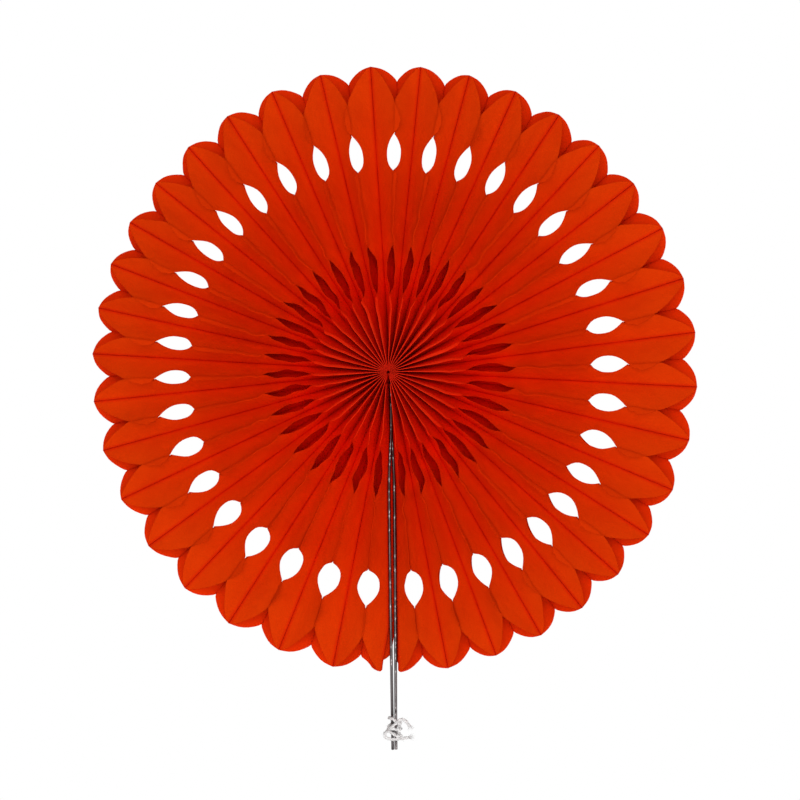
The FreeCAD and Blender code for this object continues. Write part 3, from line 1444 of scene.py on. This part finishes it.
@dataclass
class Studio:
    """Soft light, a white surround and the photograph's viewpoint."""

    azimuth: float = 4.0
    elevation: float = 2.0
    distance: float = 800.0
    field_of_view: float = 27.85
    aim: tuple[float, float, float] = (4.6, 0.0, -14.2)
    world_level: float = 0.28
    lamps: tuple[Lamp, ...] = (
        Lamp("key_light", (-90.0, -1250.0, 200.0), 8.2),
        Lamp("fill_light", (260.0, -1200.0, -40.0), 5.6),
        Lamp("back_light", (-300.0, 1220.0, 300.0), 6.5),
    )
    floor_drop: float = 420.0
    floor_size: float = 40.0
    floor_grey: Colour = (0.9, 0.9, 0.9)
    floor_roughness: float = 0.9

    def build(self) -> None:
        """Sets up the camera, the lights and the floor."""
        scene = bpy.context.scene
        scene.view_settings.view_transform = "Standard"
        self.add_camera()
        self.add_world()
        for lamp in self.lamps:
            lamp.build()
        self.add_floor()

    def add_camera(self) -> None:
        """Adds the camera at the photograph's viewing angle."""
        azimuth = math.radians(self.azimuth)
        elevation = math.radians(self.elevation)
        back = Vector((
            math.sin(azimuth) * math.cos(elevation),
            -math.cos(azimuth) * math.cos(elevation),
            math.sin(elevation),
        ))
        data = bpy.data.cameras.new("camera")
        data.angle = math.radians(self.field_of_view)
        camera = bpy.data.objects.new("camera", data)
        camera.location = (Vector(self.aim) + back * self.distance) * MM
        camera.rotation_mode = "QUATERNION"
        camera.rotation_quaternion = (-back).to_track_quat("-Z", "Y")
        bpy.context.scene.collection.objects.link(camera)
        bpy.context.scene.camera = camera

    def add_world(self) -> None:
        """Lights from all round, and shows white to the camera and in gloss."""
        world = bpy.data.worlds.new("white_surround")
        world.use_nodes = True
        bpy.context.scene.world = world
        tree = world.node_tree
        plain = tree.nodes["Background"]
        plain.inputs["Color"].default_value = (*WHITE, 1.0)
        plain.inputs["Strength"].default_value = self.world_level
        seen = tree.nodes.new("ShaderNodeBackground")
        seen.inputs["Color"].default_value = (*WHITE, 1.0)
        mixed = tree.nodes.new("ShaderNodeMixShader")
        tree.links.new(self.seen_rays(tree), mixed.inputs["Fac"])
        tree.links.new(plain.outputs["Background"], mixed.inputs[1])
        tree.links.new(seen.outputs["Background"], mixed.inputs[2])
        tree.links.new(mixed.outputs["Shader"], tree.nodes["World Output"].inputs["Surface"])

    def seen_rays(self, tree: bpy.types.NodeTree) -> bpy.types.NodeSocket:
        """Adds nodes that pick the rays that show a surround.

        Args:
            tree: The node tree that takes them.

        Returns:
            A socket that is 1 for camera, glossy and transmission rays.
        """
        path = tree.nodes.new("ShaderNodeLightPath")
        total = path.outputs["Is Camera Ray"]
        for name in ("Is Glossy Ray", "Is Transmission Ray"):
            add = tree.nodes.new("ShaderNodeMath")
            add.operation = "MAXIMUM"
            tree.links.new(total, add.inputs[0])
            tree.links.new(path.outputs[name], add.inputs[1])
            total = add.outputs[0]
        return total

    def add_floor(self) -> None:
        """Adds a wide pale floor well below the hanging fan."""
        mesh = bmesh.new()
        bmesh.ops.create_grid(mesh, x_segments=1, y_segments=1, size=self.floor_size)
        bmesh.ops.translate(mesh, vec=UP * -self.floor_drop * MM, verts=mesh.verts)
        data = bpy.data.meshes.new("floor")
        mesh.to_mesh(data)
        mesh.free()
        floor = bpy.data.objects.new("floor", data)
        bpy.context.scene.collection.objects.link(floor)
        nodes = Nodes("pale_floor")
        nodes.shader.inputs["Base Color"].default_value = (*self.floor_grey, 1.0)
        nodes.shader.inputs["Roughness"].default_value = self.floor_roughness
        glow = nodes.add("ShaderNodeEmission")
        mixed = nodes.add("ShaderNodeMixShader")
        nodes.join(self.seen_rays(nodes.tree), mixed.inputs["Fac"])
        nodes.join(nodes.shader.outputs["BSDF"], mixed.inputs[1])
        nodes.join(glow.outputs["Emission"], mixed.inputs[2])
        nodes.join(mixed.outputs["Shader"], nodes.tree.nodes["Material Output"].inputs["Surface"])
        data.materials.append(nodes.material)


def main() -> None:
    """Builds the studio and every piece, and reports them."""
    logging.basicConfig(level=logging.INFO)
    Studio().build()
    pieces = Rosette().build() + Stem().build()
    for piece in pieces:
        LOG.info("%s has %d faces", piece.name, len(piece.data.polygons))


if __name__ == "__main__":
    main()
